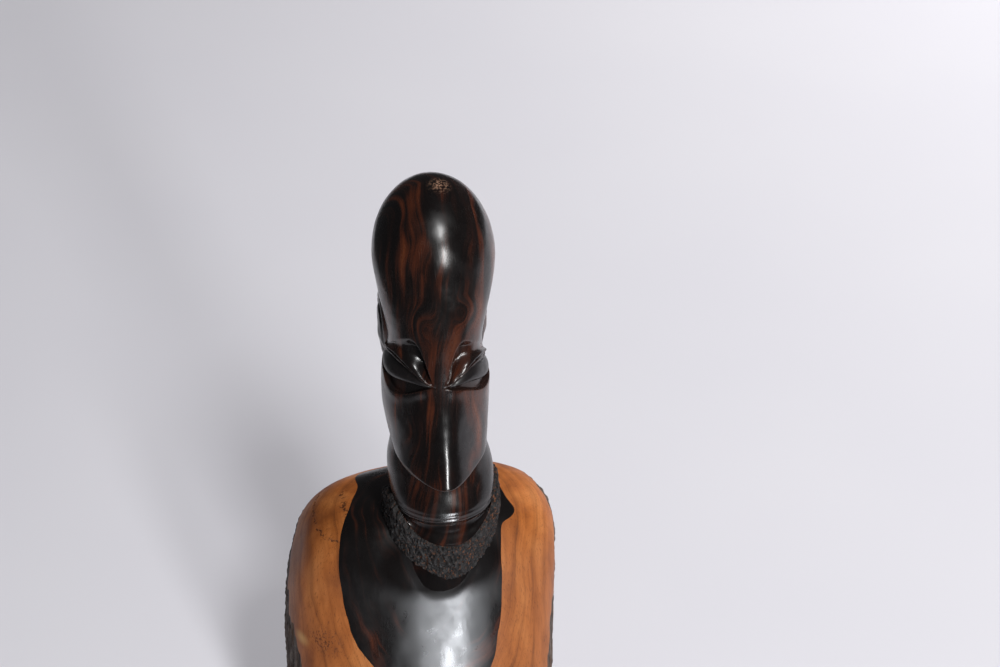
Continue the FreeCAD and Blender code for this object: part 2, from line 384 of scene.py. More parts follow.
def run_at_height(height):
    """The distance up the head's side of a height below the crown."""
    fine = np.linspace(0, HEAD_RUN[-1], 4000)
    return np.interp(height, spline(HEAD_RUN, HEAD_TABLE, fine)[:, 0], fine)


def push_out(point, angle, lift):
    """Moves points level, straight out at their angle."""
    point[..., 0] += np.sin(angle) * lift
    point[..., 1] += np.cos(angle) * lift
    return point


def eye_line(side, name, out):
    """The height of one line of the eye fan, so many degrees out from the corner."""
    line = EYES[side][name]
    return rows_at(line, np.clip(out, line[0][0], line[-1][0]))[..., 1]


def eye_carving(angle, height):
    """Depth of the carved folds round both eyes, outward, and where they lie, as a share that paints them
    darker: darker eye wood, and painted shade in the slit and the socket hollow.
    """
    degrees, height = np.broadcast_arrays(np.degrees(angle), height)
    carved, shade = np.zeros(height.shape), np.zeros(height.shape)
    for side, sign in (("right", -1), ("left", 1)):
        out = sign * (degrees - EYES[side]["corner"])
        cheek, lid, crease, fold, brow = [eye_line(side, name, out)
                                          for name in ("cheek", "lid", "crease", "fold", "brow")]
        inside = ease(-6, 7, out) * (1 - ease(EYE_FADE_START, EYE_END, out))
        on_side = (out > -8) & (out < EYE_END + 8)
        # hollow between the brow and the fold, deepest beside the bridge, and the roll under it
        across = np.clip((height - fold) / np.maximum(brow - fold, 0.3), 0, 1)
        deep = SOCKET_DEEP * ease(-4, 9, out) * (1 - 0.88 * ease(19, 38, out))
        socket = -deep * ease(0.12, 0.42, across) * (1 - ease(0.66, 1.0, across))
        roll = ROLL_HIGH * ease(8, 24, out) * bell(across - 0.08, 0.2) * (height > fold)
        # two round ridges with narrow valleys between them fan out from the corner
        second = 0.45 * fold + 0.55 * crease
        room = ease(0.6, 2.5, fold - crease)
        ridge = RIDGE_HIGH * bell(height - fold, np.where(height > fold, 1.7, 0.8))
        ridge += SECOND_RIDGE_HIGH * room * bell(height - second, 0.6)
        valley = -VALLEY_DEEP * room * bell(height - (fold + second) / 2 + 0.15, 0.5)
        valley -= CREASE_DEEP * bell(height - crease, 0.5)
        # the eye's own bed, and the slit under the lid
        bed = -EYE_BED_DEEP * ease(-0.3, 0.4, height - lid) * (1 - ease(-0.5, 0.3, height - crease))
        slit = -SLIT_DEEP * np.clip((lid - cheek) / 1.6, 0, 1) * ease(-0.1, 0.35, height - cheek)
        slit *= 1 - ease(-0.2, 0.5, height - lid)
        proud = CHEEK_PROUD * bell(height - cheek + 0.6, 3.4) * (height < cheek + 0.2)
        total = socket + roll + ridge + valley + bed + slit + proud
        carved += np.where(on_side, inside * total, 0)
        # how dark the eye fan is painted: darker wood over the folds, and painted shade in the slit and, by
        # its depth, in the socket hollow
        within = ease(-0.6, -0.1, height - cheek) * (1 - ease(0.4, 2.4, height - fold))
        within = np.maximum(within, 0.8 * np.clip(-socket / 2.2, 0, 1))
        shade += np.where(on_side, inside * within, 0)
    return carved, np.clip(shade, 0, 1)


def hand_finish(points, seed, amount=0.07, wave=7.0):
    """The faint waviness that scraping and sanding by hand leaves."""
    return amount * layered(points / wave, seed, 2)


HEAD_AROUND = 328
HEAD_UNDER_RINGS = 14
CROWN_RINGS = 76
# from this height, in steps of this much, up to this height
HEAD_STEPS = [(HEAD[0][0], 0.62, 249), (249, 0.28, 285), (285, 0.6, 300)]
# how far the face's lower edge steps in and down, and the drops of the shadow step
UNDER_EDGE = [(0.08, 0.35), (0.3, 0.65), (0.7, 0.8)]
UNDER_STEP = [0.9, 1.6, 2.2]


def head_heights():
    """Distances up the head: coarse on the crown, fine across the eyes."""
    runs = [np.arange(run_at_height(low), run_at_height(high), step) for low, step, high in HEAD_STEPS]
    runs.append(np.linspace(runs[-1][-1] + HEAD_STEPS[-1][1], HEAD_RUN[-1] - 0.01, CROWN_RINGS))
    return np.concatenate(runs)


def make_head():
    angle = around(HEAD_AROUND, 0.42)[None]
    body = head_surface(head_heights()[:, None], angle)
    carved, shade = eye_carving(angle, body[..., 2])
    body = body + grid_normals(body) * (carved + hand_finish(body, 11))[..., None]
    # the flat underside of the face: a small rounded edge, a shadow step, then flat rings
    rim = body[0]
    centre = np.array([HEAD[0][1], 6.0, HEAD[0][0]])
    outward = rim - centre
    outward = outward / np.linalg.norm(outward, axis=-1, keepdims=True)
    step_deep = 0.9 * ease(22, 50, np.abs(np.degrees(angle[0])))[:, None] + 0.15
    under = []
    step = [(0.8 + step_deep * 0.5, drop * step_deep[:, 0] + 0.8) for drop in UNDER_STEP]
    for inset, drop in UNDER_EDGE + step:
        ring = rim - outward * inset
        ring[:, 2] -= drop
        under.append(ring)
    last = under[-1]
    for share in np.linspace(0.93, 0.01, HEAD_UNDER_RINGS):
        ring = centre + (last - centre) * share
        ring[:, 2] = last[:, 2] + (1 - share) * 1.2
        under.append(ring)
    grid = np.concatenate([under[::-1], body])
    shade = np.concatenate([np.zeros((len(under), HEAD_AROUND)), shade])
    return capped("carved_head", grid, "heartwood", "head", curve=convexity(grid), shade=shade)


# the lens: its grid, how far it swells, how deep its rim sits, and its back
EYE_COLUMNS = 150
EYE_FRONT_ROWS = 26
EYE_BACK_ROWS = 8
EYE_BULGE = 1.75
EYE_SUNK = 0.95
EYE_BACK = 2.9


def make_eye(side):
    """The polished lens between the lid's edge and the crease above it."""
    sign = 1 if side == "left" else -1
    out = np.linspace(0.6, EYE_END - 2, EYE_COLUMNS)
    lid = eye_line(side, "lid", out)
    crease = eye_line(side, "crease", out)
    front_share = np.linspace(0, 1, EYE_FRONT_ROWS)
    back_share = np.linspace(1, 0, EYE_BACK_ROWS + 2)[1:-1]
    share = np.concatenate([front_share, back_share])[:, None]
    on_front = (np.arange(len(share)) < EYE_FRONT_ROWS)[:, None]
    angle = np.radians(EYES[side]["corner"] + sign * out)[None]
    height = lid + 0.05 + (crease - lid - 0.1) * share
    taper = np.sin(np.pi * (out / EYE_END))[None] ** 0.45
    bulge = EYE_BULGE * taper * np.sin(np.pi * share ** 0.8) ** 0.75 - EYE_SUNK
    lift = np.where(on_front, bulge, -EYE_BACK)
    point = push_out(head_surface(run_at_height(height), angle), angle, lift)
    grid = np.transpose(point, (1, 0, 2))
    return capped("eye_lens_" + side, grid, "eyes", "eye_" + side, turned=side == "left")


EAR_MIDDLE_HEIGHT = 268.0
EAR_FORWARD = -6.0
EAR_OUT = 19.2
EAR_TALL = 21.0
EAR_WIDE = 8.5
EAR_THICK = 4.2
EAR_SPLAY = 4.0
EAR_SPOKES = 150
EAR_RINGS = 44


def make_ear(side):
    """A thin upright leaf with an incised line inside its rim."""
    sign = 1 if side == "left" else -1
    turn = np.linspace(0, 2 * np.pi, EAR_SPOKES, endpoint=False)[None]
    share = np.linspace(0.01, 1, EAR_RINGS)[:, None]
    tall = EAR_TALL * share * np.cos(turn)
    wide = EAR_WIDE * share * np.sin(turn) * (1 + 0.16 * np.cos(turn))
    dome = np.sqrt(np.clip(1 - share ** 2.6, 0, 1)) + 0 * turn
    groove = -1.0 * bell(share - 0.66, 0.07) * (0.35 + 0.65 * ease(-0.9, 0.2, np.sin(turn + 0.4)))
    inner_fold = 0.7 * bell(np.hypot(wide - 1.5, (tall + 2) * 0.4), 2.4)
    bowl = 0.9 * bell(np.hypot(wide - 2.5, (tall + 7) * 0.6), 1.7)
    out = EAR_THICK * dome * 0.86 + groove + (inner_fold - bowl)
    back = -EAR_THICK * dome
    lean = math.radians(EAR_SPLAY)

    def place(outward):
        x = HEAD[0][1] + sign * (EAR_OUT + outward * math.cos(lean) + tall * math.sin(lean))
        z = EAR_MIDDLE_HEIGHT + tall * math.cos(lean) - outward * math.sin(lean)
        return np.stack([x, EAR_FORWARD + wide + 0 * z, z], -1)

    outer = place(out)
    outer[:-1] += hand_finish(outer, 23, 0.08, 4.0)[:-1, :, None] * np.array([sign, 0, 0])
    grid = np.concatenate([outer, place(back)[-2::-1]])
    return capped("carved_ear_" + side, grid, "heartwood", "ear_" + side, turned=side == "right",
                  curve=convexity(grid) * 0.3)


# ---- jaw
NECK_AROUND = 240
NECK_ROWS = 150
MUZZLE_AROUND = 300
MUZZLE_ROWS = 150
# lines along the front of the upper lip: height, half width, how far it stands out
LIP_LINES = [(187.3, 0.5, 0.14), (188.6, 0.6, -0.12), (190.6, 0.9, -0.10), (185.5, 0.6, -0.5)]


def make_neck():
    angle = around(NECK_AROUND, 0.25)[None]
    grid = section(evenly(NECK, NECK_ROWS)[:, None], angle)
    grid = grid + grid_normals(grid) * hand_finish(grid, 31, 0.09, 8.0)[..., None]
    return capped("carved_neck", grid, "heartwood", "neck", curve=convexity(grid))


def make_muzzle():
    angle = around(MUZZLE_AROUND, 0.4)[None]
    grid = section(evenly(MUZZLE, MUZZLE_ROWS)[:, None], angle)
    # a fine raised line under two shallow grooves, and the worn edge of the lip
    lift = sum(deep * bell(grid[..., 2] - height, tall) for height, tall, deep in LIP_LINES)
    lift *= ease(-0.1, 0.5, np.cos(angle))
    grid = grid + grid_normals(grid) * (lift + hand_finish(grid, 41, 0.1, 8.0))[..., None]
    return capped("carved_muzzle", grid, "heartwood", "muzzle", curve=convexity(grid))


MOUTH_HEIGHT = 185.5
LIP_COLUMNS = 240
LIP_ROWS = 64
LIP_MIDDLE = (9.4, 6.0)
# the lower edge of the lip: degrees from the front, height
LIP_ARC = [(-75, 192.0), (-55, 185.2), (-44, 181.8), (-34, 179.2), (-25, 177.3), (-17, 176.1), (0, 174.9),
           (14, 175.3), (25, 177.0), (35, 179.8), (46, 182.6), (57, 185.4), (75, 192.0)]


def make_lower_lip():
    """The crescent under the mouth, hollowed like a ledge."""
    degrees = np.linspace(-66, 66, LIP_COLUMNS)
    share = np.linspace(0, 1, LIP_ROWS)[:, None]
    low = rows_at(LIP_ARC, degrees)[:, 1] - 1.2
    height = low + (MOUTH_HEIGHT + 0.4 - low) * share
    reach = 32.3 - 2.1 * ease(0.10, 0.85, share) - 0.5 * ease(0.9, 1.0, share)
    reach = reach - 0.75 * bell(share - 0.55, 0.24) + 0.2 * bell(share - 0.14, 0.09)
    reach -= 1.2 * (1 - ease(0, 0.08, share))
    row = np.broadcast_arrays(height, LIP_MIDDLE[0], 22.3 - 0.7 * share, reach, 12.0, 0.015)
    front = section(np.stack(row, -1), np.radians(degrees))
    front[..., 1] += hand_finish(front, 43, 0.08, 5.0)
    inner = front.copy()
    inner[..., :2] = LIP_MIDDLE + (front[..., :2] - LIP_MIDDLE) * 0.72
    return strip_piece("carved_lower_lip", front, inner, "heartwood", "lower_lip")


def strip_piece(name, front, back, slot, node, **marks):
    """A closed piece from a front sheet and the sheet behind it."""
    rows, count = front.shape[:2]
    curve = convexity(front, False)
    front_faces = grid_faces(rows, count, False)
    back_faces = front_faces[:, ::-1] + rows * count
    index = np.arange(rows * count).reshape(rows, count)
    edge = np.concatenate([index[0], index[1:, -1], index[-1, -2::-1], index[-2:0:-1, 0]])
    after = np.roll(edge, -1)
    rim = np.stack([after, edge, edge + rows * count, after + rows * count], -1)
    marks = {mark: np.concatenate([values, values]) for mark, values in marks.items()}
    return make_piece(name, np.concatenate([front, back]), [front_faces, back_faces, rim], slot, node,
                      curve=np.concatenate([curve, 0 * curve]), **marks)


# ---- beard
# Degrees round the jaw, lower edge and upper edge of the beard.
BEARD_EDGES = [
    (-108, 177.0, 185.5), (-98, 176.0, 188.0), (-84, 174.0, 191.0), (-72, 171.0, 190.0), (-60, 166.5, 186.6),
    (-46, 162.4, 182.6), (-34, 159.6, 179.2), (-25, 158.0, 177.2), (-13, 155.2, 175.6), (0, 152.4, 174.7),
    (14, 152.0, 175.2), (26, 154.6, 177.2), (36, 158.2, 180.0), (46, 161.0, 182.8), (58, 163.6, 186.4),
    (72, 167.5, 192.0), (84, 172.5, 195.5), (98, 176.0, 194.0), (108, 177.0, 190.5),
]
BEARD_COLUMNS = 430
BEARD_ROWS = 104
BEARD_THICK = 5.5
ARC_RADIUS = 27.0
GOUGE_COUNT = 900
GOUGE_REACH = 14


def beard_point(degrees, height, lift):
    angle = np.radians(degrees)
    return push_out(section(rows_at(BEARD, height), angle), angle, lift)


def make_beard():
    degrees = np.linspace(-106, 106, BEARD_COLUMNS)[None]
    share = np.linspace(0, 1, BEARD_ROWS)[:, None]
    edges = rows_at(BEARD_EDGES, degrees[0])
    ragged = degrees[0][:, None] * [0.25, 0, 0]
    low = edges[:, 1] + 1.0 * layered(ragged, 51, 3)
    top = edges[:, 2] + 0.7 * layered(ragged, 57, 3)
    height = low + (top - low) * share
    degrees = degrees + 0 * height
    flat = beard_point(degrees, height, 0)
    arc = np.radians(degrees) * ARC_RADIUS
    # short gouge cuts, leaning with the growth of the beard
    random = np.random.default_rng(77)
    pits = np.zeros(height.shape)
    for _ in range(GOUGE_COUNT):
        middle_arc = random.uniform(arc.min(), arc.max())
        column = int(np.argmin(np.abs(arc[0] - middle_arc)))
        middle = random.uniform(low[column] - 1, top[column] + 1)
        lean = random.normal(0.0, 0.38) + 0.25 * np.sin(np.radians(degrees[0, column]))
        wide, tall, deep = random.uniform(0.4, 0.85), random.uniform(0.9, 2.1), random.uniform(0.45, 1.0)
        first, last = max(column - GOUGE_REACH, 0), column + GOUGE_REACH + 1
        side = arc[:, first:last] - middle_arc
        up = height[:, first:last] - middle
        along = up * math.cos(lean) + side * math.sin(lean)
        across = side * math.cos(lean) - up * math.sin(lean)
        cut = deep * np.exp(-((across / wide) ** 2 + (along / tall) ** 2) ** 1.3)
        pits[:, first:last] = np.maximum(pits[:, first:last], cut)
    rough = 0.35 * layered(flat / 1.7, 61, 3) + 0.4 * layered(flat / 5.0, 67, 2)
    body = np.minimum(ease(0, 0.10, share), 1 - ease(0.92, 1.0, share))
    lift = 0.45 + rough * body - pits * (0.3 + 0.7 * body)
    lift = lift - 3.4 * (1 - ease(-0.02, 0.10, share)) - 1.3 * ease(0.93, 1.0, share)
    lift -= 2.6 * ease(97, 106, np.abs(degrees))
    front = beard_point(degrees, height, lift)
    back = beard_point(degrees, height, -BEARD_THICK)
    return strip_piece("carved_beard", front, back, "beard", "beard", pit=pits)


# ---- torso
def heartwood_reach(x, forward):
    """Distance from the pith, less the heartwood's own radius that way."""
    angle = np.degrees(np.arctan2(x - PITH_X, forward - PITH_FORWARD)) % 360
    angle = np.where(angle < 180, angle + 360, angle)
    return np.hypot(x - PITH_X, forward - PITH_FORWARD) - rows_at(HEARTWOOD_OUTLINE, angle)[..., 1]


def rind_reach(x, forward):
    """How far a point lies beyond the sapwood's outer edge."""
    reach = np.where(forward > 0, UNDER_RIND_FRONT, UNDER_RIND_BACK)
    share = np.hypot((x - PITH_X) / UNDER_RIND_HALF_WIDTH, forward / reach)
    return (share - 1) * RIND_MEAN_REACH


NECK_GAP_TOP = 188


def neck_gap(points):
    """Distance of torso points from the neck's skin, measured level."""
    row = rows_at(NECK, np.clip(points[..., 2], NECK[0][0], NECK_GAP_TOP))
    middle, half_deep = (row[..., 3] - row[..., 4]) / 2, (row[..., 3] + row[..., 4]) / 2
    x, forward = points[..., 0] - row[..., 1], points[..., 1] - middle
    skin = section(row, np.arctan2(x / row[..., 2], forward / half_deep))
    return np.hypot(x, forward) - np.hypot(skin[..., 0] - row[..., 1], skin[..., 1] - middle)


TORSO_AROUND = 384
TORSO_ROWS = 230
# the rings that close the base and the crest: shares of the outline, and their middles
BASE_SHARES = (0.004, 0.12, 0.25, 0.4, 0.55, 0.68, 0.8, 0.88, 0.94, 0.97, 0.988)
BASE_MIDDLE = np.array([0.4, 2.5, 0])
CREST_SHARES = (0.9, 0.78, 0.64, 0.48, 0.3, 0.12, 0.01)
CREST_MIDDLE = np.array([6.0, -4.5, 0])
CREST_RISE = 1.6


def torso_grid():
    """Rings across the base, up the side and over the crest, and how many are in the base."""
    angle = around(TORSO_AROUND, 0.12)[None]
    side = section(evenly(TORSO, TORSO_ROWS)[:, None], angle)
    base = [side[0] * [share, share, 1] + BASE_MIDDLE * (1 - share) for share in BASE_SHARES]
    crest = side[-1]
    top = []
    for share in CREST_SHARES:
        ring = CREST_MIDDLE * (1 - share) + crest * [share, share, 1]
        ring[:, 2] = crest[:, 2] + CREST_RISE * (1 - share ** 2)
        top.append(ring)
    return np.concatenate([base, side, top]), len(base)


def clip(table, faces, field):
    """Splits triangles along field = 0 into the part below and the part above.

    table holds a row of values for each vertex, and both parts share the new
    vertices along the cut."""
    value = np.where(np.abs(table[:, field]) < 1e-3, 1e-3, table[:, field])
    sign = value[faces] > 0
    count = sign.sum(1)
    parts = [faces[count == 0]], [faces[count == 3]]
    extra, made = [], {}

    def cut(a, b):
        key = (a, b) if a < b else (b, a)
        if key not in made:
            share = value[key[0]] / (value[key[0]] - value[key[1]])
            made[key] = len(table) + len(extra)
            extra.append(table[key[0]] + (table[key[1]] - table[key[0]]) * share)
        return made[key]

    crossed = (count == 1) | (count == 2)
    for face, up in zip(faces[crossed], sign[crossed]):
        tip_above = int(up.sum() == 1)
        alone = int(np.flatnonzero(up == tip_above)[0])
        a, b, c = np.roll(face, -alone)
        ab, ac = cut(a, b), cut(a, c)
        parts[tip_above].append([(a, ab, ac)])
        parts[1 - tip_above].append([(ab, b, c), (ab, c, ac)])
    table = np.concatenate([table, np.array(extra).reshape(-1, table.shape[1])])
    return table, np.concatenate(parts[0]), np.concatenate(parts[1])


SHELL_THICK = 4.0
INSIDE_LIFT = 0.3


def shell_piece(name, table, faces, slot, node):
    """A closed slab from part of the torso's skin, its cut edges kept crisp."""
    used, faces = np.unique(faces, return_inverse=True)
    faces = faces.reshape(-1, 3)
    rows = table[used]
    edges = np.concatenate([faces[:, [0, 1]], faces[:, [1, 2]], faces[:, [2, 0]]])
    ordered = np.sort(edges, axis=1)
    key = ordered[:, 0] * len(used) + ordered[:, 1]
    _, first, times = np.unique(key, return_index=True, return_counts=True)
    border = edges[first[times == 1]]
    count = len(used)
    rim = np.stack([border[:, 1], border[:, 0], border[:, 0] + count, border[:, 1] + count], -1)
    points = np.concatenate([rows[:, :3], rows[:, :3] - rows[:, 3:6] * SHELL_THICK])
    points[count:, 2] = np.maximum(points[count:, 2], INSIDE_LIFT)
    on_rim = np.zeros(2 * count, bool)
    on_rim[border.reshape(-1)] = True
    on_rim[border.reshape(-1) + count] = True
    curve = np.concatenate([rows[:, 6], 0 * rows[:, 6]])
    faces = [faces, faces[:, ::-1] + count, rim]
    return make_piece(name, points, faces, slot, node, sharp=on_rim, curve=curve)


TORSO_PIECES = [
    ("torso_core", "heartwood", "torso_heartwood"),
    ("sapwood_shoulder_right", "sapwood", "sapwood_right"),
    ("sapwood_shoulder_left", "sapwood", "sapwood_left"),
    ("rind_flank_right", "rind", "rind_right"),
    ("rind_flank_back", "rind", "rind_back"),
    ("rind_flank_left", "rind", "rind_left"),
]


def make_torso():
    """The carved block, its skin parted into heartwood, sapwood and rind."""
    grid, base_rows = torso_grid()
    normal = grid_normals(grid)
    x, forward, height = grid[..., 0], grid[..., 1], grid[..., 2]
    on_side = (np.arange(len(grid)) >= base_rows)[:, None]
    wobble = 0.7 * layered(np.stack([x / 14, forward / 14, height / 22], -1), 71, 3)
    heart = heartwood_reach(x, forward) + wobble * on_side
    rind = rind_reach(x, forward) + 1.3 * layered(np.stack([x / 9, forward / 9, height / 26], -1), 73, 3)
    gap = neck_gap(grid)
    lift = hand_finish(grid, 75, 0.16, 16.0) * on_side
    lift -= 0.6 * bell(np.clip(gap, 0, None), 1.6) * on_side * ease(120, 140, height)
    fissure = np.stack([x / 3.2, forward / 3.2, height / 16], -1)
    bark = -0.5 + 0.55 * layered(fissure, 81, 4) + 0.35 * layered(grid / 2.2, 83, 2)
    lift += bark * ease(-0.2, 1.2, rind) * on_side
    skin = grid + normal * lift[..., None]
    skin[..., 2] = np.maximum(skin[..., 2], 0)
    x = skin[..., 0]
    # each vertex has its place, normal and curve, then the five fields that part the wood
    fields = np.stack([convexity(skin), heart, rind, x - SAPWOOD_SEAM_X,
                       x + RIND_BACK_HALF_WIDTH, x - RIND_BACK_HALF_WIDTH], -1)
    table = np.concatenate([skin, grid_normals(skin), fields], -1)
    table = table.reshape(-1, table.shape[-1])
    quads = grid_faces(len(grid), TORSO_AROUND)
    faces = np.concatenate([quads[:, [0, 1, 2]], quads[:, [0, 2, 3]]])
    table, heartwood, outer = clip(table, faces, 7)
    table, sapwood, bark_faces = clip(table, outer, 8)
    table, sap_right, sap_left = clip(table, sapwood, 9)
    table, bark_right, rest = clip(table, bark_faces, 10)
    table, bark_back, bark_left = clip(table, rest, 11)
    # close the small holes at the two poles of the heartwood
    last = (len(grid) - 1) * TORSO_AROUND
    fans = [[0, k + 1, k] for k in range(1, TORSO_AROUND - 1)]
    fans += [[last, last + k, last + k + 1] for k in range(1, TORSO_AROUND - 1)]
    parts = (np.concatenate([heartwood, fans]), sap_right, sap_left, bark_right, bark_back, bark_left)
    return [shell_piece(name, table, part, slot, node)
            for (name, slot, node), part in zip(TORSO_PIECES, parts)]


# ---- node helpers
def feed(node, index, value):
    """Sets an input from another node's output, a number or a colour; None leaves it alone."""
    if isinstance(value, bpy.types.NodeSocket):
        node.id_data.links.new(value, node.inputs[index])
    elif value is not None:
        node.inputs[index].default_value = value


def new_node(kind, *values, **settings):
    """A node beside those whose outputs it takes; values go to its inputs in order."""
    tree = next(value.id_data for value in values if isinstance(value, bpy.types.NodeSocket))
    node = tree.nodes.new(kind)
    for name, setting in settings.items():
        setattr(node, name, setting)
    for index, value in enumerate(values):
        feed(node, index, value)
    return node


def sums(operation, *values):
    return new_node("ShaderNodeMath", *values, operation=operation).outputs[0]


def times(first, second):
    return sums("MULTIPLY", first, second)


def plus(first, second):
    return sums("ADD", first, second)


def vectors(operation, first, second=None, scale=None):
    node = new_node("ShaderNodeVectorMath", first, second, None, scale, operation=operation)
    return node.outputs[1 if operation == "LENGTH" else 0]


def grain(place, wave, detail=3.0, rough=0.55, colour=False):
    """Noise with its own wavelength along x, y and z, in figure millimetres."""
    node = new_node("ShaderNodeTexNoise", vectors("MULTIPLY", place, tuple(1 / w for w in wave)))
    for name, value in (("Scale", 1.0), ("Detail", detail), ("Roughness", rough)):
        feed(node, name, value)
    return node.outputs["Color" if colour else "Fac"]


def remap(value, low, high, to_low=0.0, to_high=1.0):
    node = new_node("ShaderNodeMapRange", value, low, high, to_low, to_high,
                    interpolation_type="SMOOTHSTEP")
    return node.outputs[0]


def blend(share, first, second, way="MIX"):
    """Mixes two colours; the node's colour inputs are its seventh and eighth."""
    node = new_node("ShaderNodeMix", share, *[None] * 5, first, second, data_type="RGBA", blend_type=way)
    return node.outputs[2]


def ramp(share, stops):
    node = new_node("ShaderNodeValToRGB", share)
    points = node.color_ramp.elements
    while len(points) < len(stops):
        points.new(0.5)
    for point, (position, colour) in zip(points, stops):
        point.position = position
        point.color = (*colour, 1.0)
    return node.outputs[0]


def mark(place, name):
    """One of the values that the vertices carry."""
    node = place.id_data.nodes.new("ShaderNodeAttribute")
    node.attribute_name = name
    return node.outputs["Fac"]


def axis_of(place, axis):
    return new_node("ShaderNodeSeparateXYZ", place).outputs[axis]


def near(place, centre, reach, flat=(1, 1, 1)):
    """1 at a figure point, falling to 0 at reach; flat squeezes an axis."""
    x, forward, height = centre
    away = vectors("MULTIPLY", vectors("SUBTRACT", place, (x, -forward, height)), flat)
    return remap(vectors("LENGTH", away), 0.0, reach, 1.0, 0.0)


def bent_place(place, wave, push):
    """Places pushed about by broad noise, so that rings and streaks wander."""
    drift = vectors("SUBTRACT", grain(place, wave, 2.0, colour=True), (0.5, 0.5, 0.5))
    return vectors("ADD", place, vectors("MULTIPLY", drift, push))


def ring_radius(place, heart):
    away = vectors("SUBTRACT", place, (heart[0], -heart[1], 0))
    return vectors("LENGTH", vectors("MULTIPLY", away, (1, 1, 0)))


def ring_bands(radius, place, wave, detail, rough):
    """Noise that follows the growth rings and changes slowly with height."""
    join = new_node("ShaderNodeCombineXYZ", radius, None, axis_of(place, 2))
    return grain(join.outputs[0], wave, detail, rough)


def start(name):
    """A new material, its shader, and the place in figure millimetres."""
    material = bpy.data.materials.new(name)
    material.use_nodes = True
    nodes = material.node_tree.nodes
    nodes.clear()
    output = nodes.new("ShaderNodeOutputMaterial")
    shader = nodes.new("ShaderNodeBsdfPrincipled")
    feed(output, 0, shader.outputs[0])
    source = nodes.new("ShaderNodeTexCoord")
    return material, shader, vectors("SCALE", source.outputs["Object"], scale=1 / UNIT)


def surface(shader, colour, rough, specular=None, coat=None, coat_rough=None):
    names = ("Base Color", "Roughness", "Specular IOR Level", "Coat Weight", "Coat Roughness")
    for name, value in zip(names, (colour, rough, specular, coat, coat_rough)):
        feed(shader, name, value)


def bumped(shader, height, deep):
    """deep is the relief in metres."""
    node = shader.id_data.nodes.new("ShaderNodeBump")
    for name, value in (("Strength", 1.0), ("Distance", deep), ("Height", height)):
        feed(node, name, value)
    feed(shader, "Normal", node.outputs[0])


# ---- materials
BLACK_WOOD = (0.0058, 0.0042, 0.0040)
DARK_WOOD = (0.013, 0.0064, 0.0052)
RED_WOOD = (0.066, 0.0175, 0.0080)
BRIGHT_WOOD = (0.150, 0.0420, 0.0150)
WHITE = (1, 1, 1)
# where the rings are centred, x and forward: the log's heart, and the head's, which leans off it
BODY_HEART = (PITH_X, PITH_FORWARD)
HEAD_HEART = (-44.0, 2.0)
# swirls in the figure of the forehead and cheeks: place, reach, strength
HEAD_KNOTS = [
    ((-3.0, 26, 287), 9, 7), ((17.0, 22, 291), 7, -6), ((12.5, 40, 236), 3.6, 5),
    ((-8.0, 32, 240), 11, -7), ((4.0, 44, 232), 9, 6),
]
# where the polish is duller: centre, reach and stretch
MOUTH_DULL = ((9.4, 31, 177), 14, (0.45, 1, 1))
NECK_DULL = ((7.0, 22, 156), 34, (0.7, 1, 1.4))
# a rubbed spot on the crown: centre and reach
CROWN_WORN = ((10.5, -8, 335), 6)


def heartwood_material(name, heart, knots, red, smooth, worn, dull):
    """Dark polished heartwood; red is how much of the red figure shows."""
    material, shader, place = start(name)
    bent = bent_place(place, (28, 28, 80), (17, 17, 8))
    ring = ring_radius(bent, heart)
    for centre, reach, strength in knots:
        ring = sums("MULTIPLY_ADD", near(bent, centre, reach, (1, 1, 0.6)), strength, ring)
    band = ring_bands(ring, place, (4.6, 1, 75), 4.0, 0.62)
    broad = grain(place, (17, 17, 48), 2.0)
    stops = zip((0.53, 0.59, 0.67, 0.78), (BLACK_WOOD, DARK_WOOD, RED_WOOD, BRIGHT_WOOD))
    colour = ramp(plus(times(band, 0.75), times(broad, 0.35)),
                  [(position - 0.05 * red, wood) for position, wood in stops])
    fibre = grain(bent, (0.45, 0.45, 16), 2.0, 0.7)
    colour = blend(0.55, colour, ramp(fibre, [(0.3, (0.35, 0.35, 0.35)), (0.7, WHITE)]), "MULTIPLY")
    curve = mark(place, "curve")
    patchy = grain(place, (2.2, 2.2, 3.5), 3.0)
    edge = times(remap(curve, 0.35, 1.6), remap(patchy, 0.35, 0.7, 0.15, 0.9))
    colour = blend(edge, colour, (0.16, 0.060, 0.034, 1))
    # the eyes painted darker: darker eye wood, and painted shade in the slit and the socket hollow
    colour = blend(times(mark(place, "shade"), 0.75), colour, (0.0062, 0.0050, 0.0050, 1))
    # painted shade: the hollows darkened towards black
    painted_hollow_shade = remap(curve, -0.3, -1.6, 0.0, 0.6)
    colour = blend(painted_hollow_shade, colour, (0.006, 0.005, 0.005, 1))
    for centre, reach in worn:
        rubbed = remap(grain(place, (0.9, 0.9, 0.5), 4.0), 0.46, 0.60)
        rubbed = times(near(place, centre, reach, (1, 1, 1.4)), rubbed)
        colour = blend(rubbed, colour, (0.30, 0.17, 0.11, 1))
    smear = grain(place, (11, 11, 19), 4.0, 0.6)
    hair = grain(place, (0.7, 6.0, 9.0), 2.0)
    rough = plus(remap(smear, 0.3, 0.75, smooth - 0.06, smooth + 0.10), remap(hair, 0.55, 0.8, 0.0, 0.10))
    rough = plus(rough, times(edge, 0.12))
    matt = near(place, *dull)
    rough = sums("MULTIPLY_ADD", matt, 0.16, rough)
    shine, coat = remap(matt, 0.05, 0.5, 0.42, 0.04), remap(matt, 0.05, 0.5, 0.12, 0.0)
    surface(shader, colour, rough, shine, coat, 0.16)
    bumped(shader, plus(times(fibre, 0.5), times(hair, 0.35)), 0.000012)
    return material


def eye_material():
    material, shader, place = start("polished_eye")
    fibre = grain(place, (0.5, 0.5, 7), 3.0, 0.65)
    colour = ramp(fibre, [(0.35, (0.005, 0.0045, 0.005)), (0.6, (0.014, 0.011, 0.011)),
                          (0.8, (0.030, 0.020, 0.017))])
    surface(shader, colour, remap(grain(place, (3, 3, 2), 4.0), 0.3, 0.7, 0.32, 0.46), 0.35, 0.15, 0.12)
    bumped(shader, fibre, 0.00002)
    return material


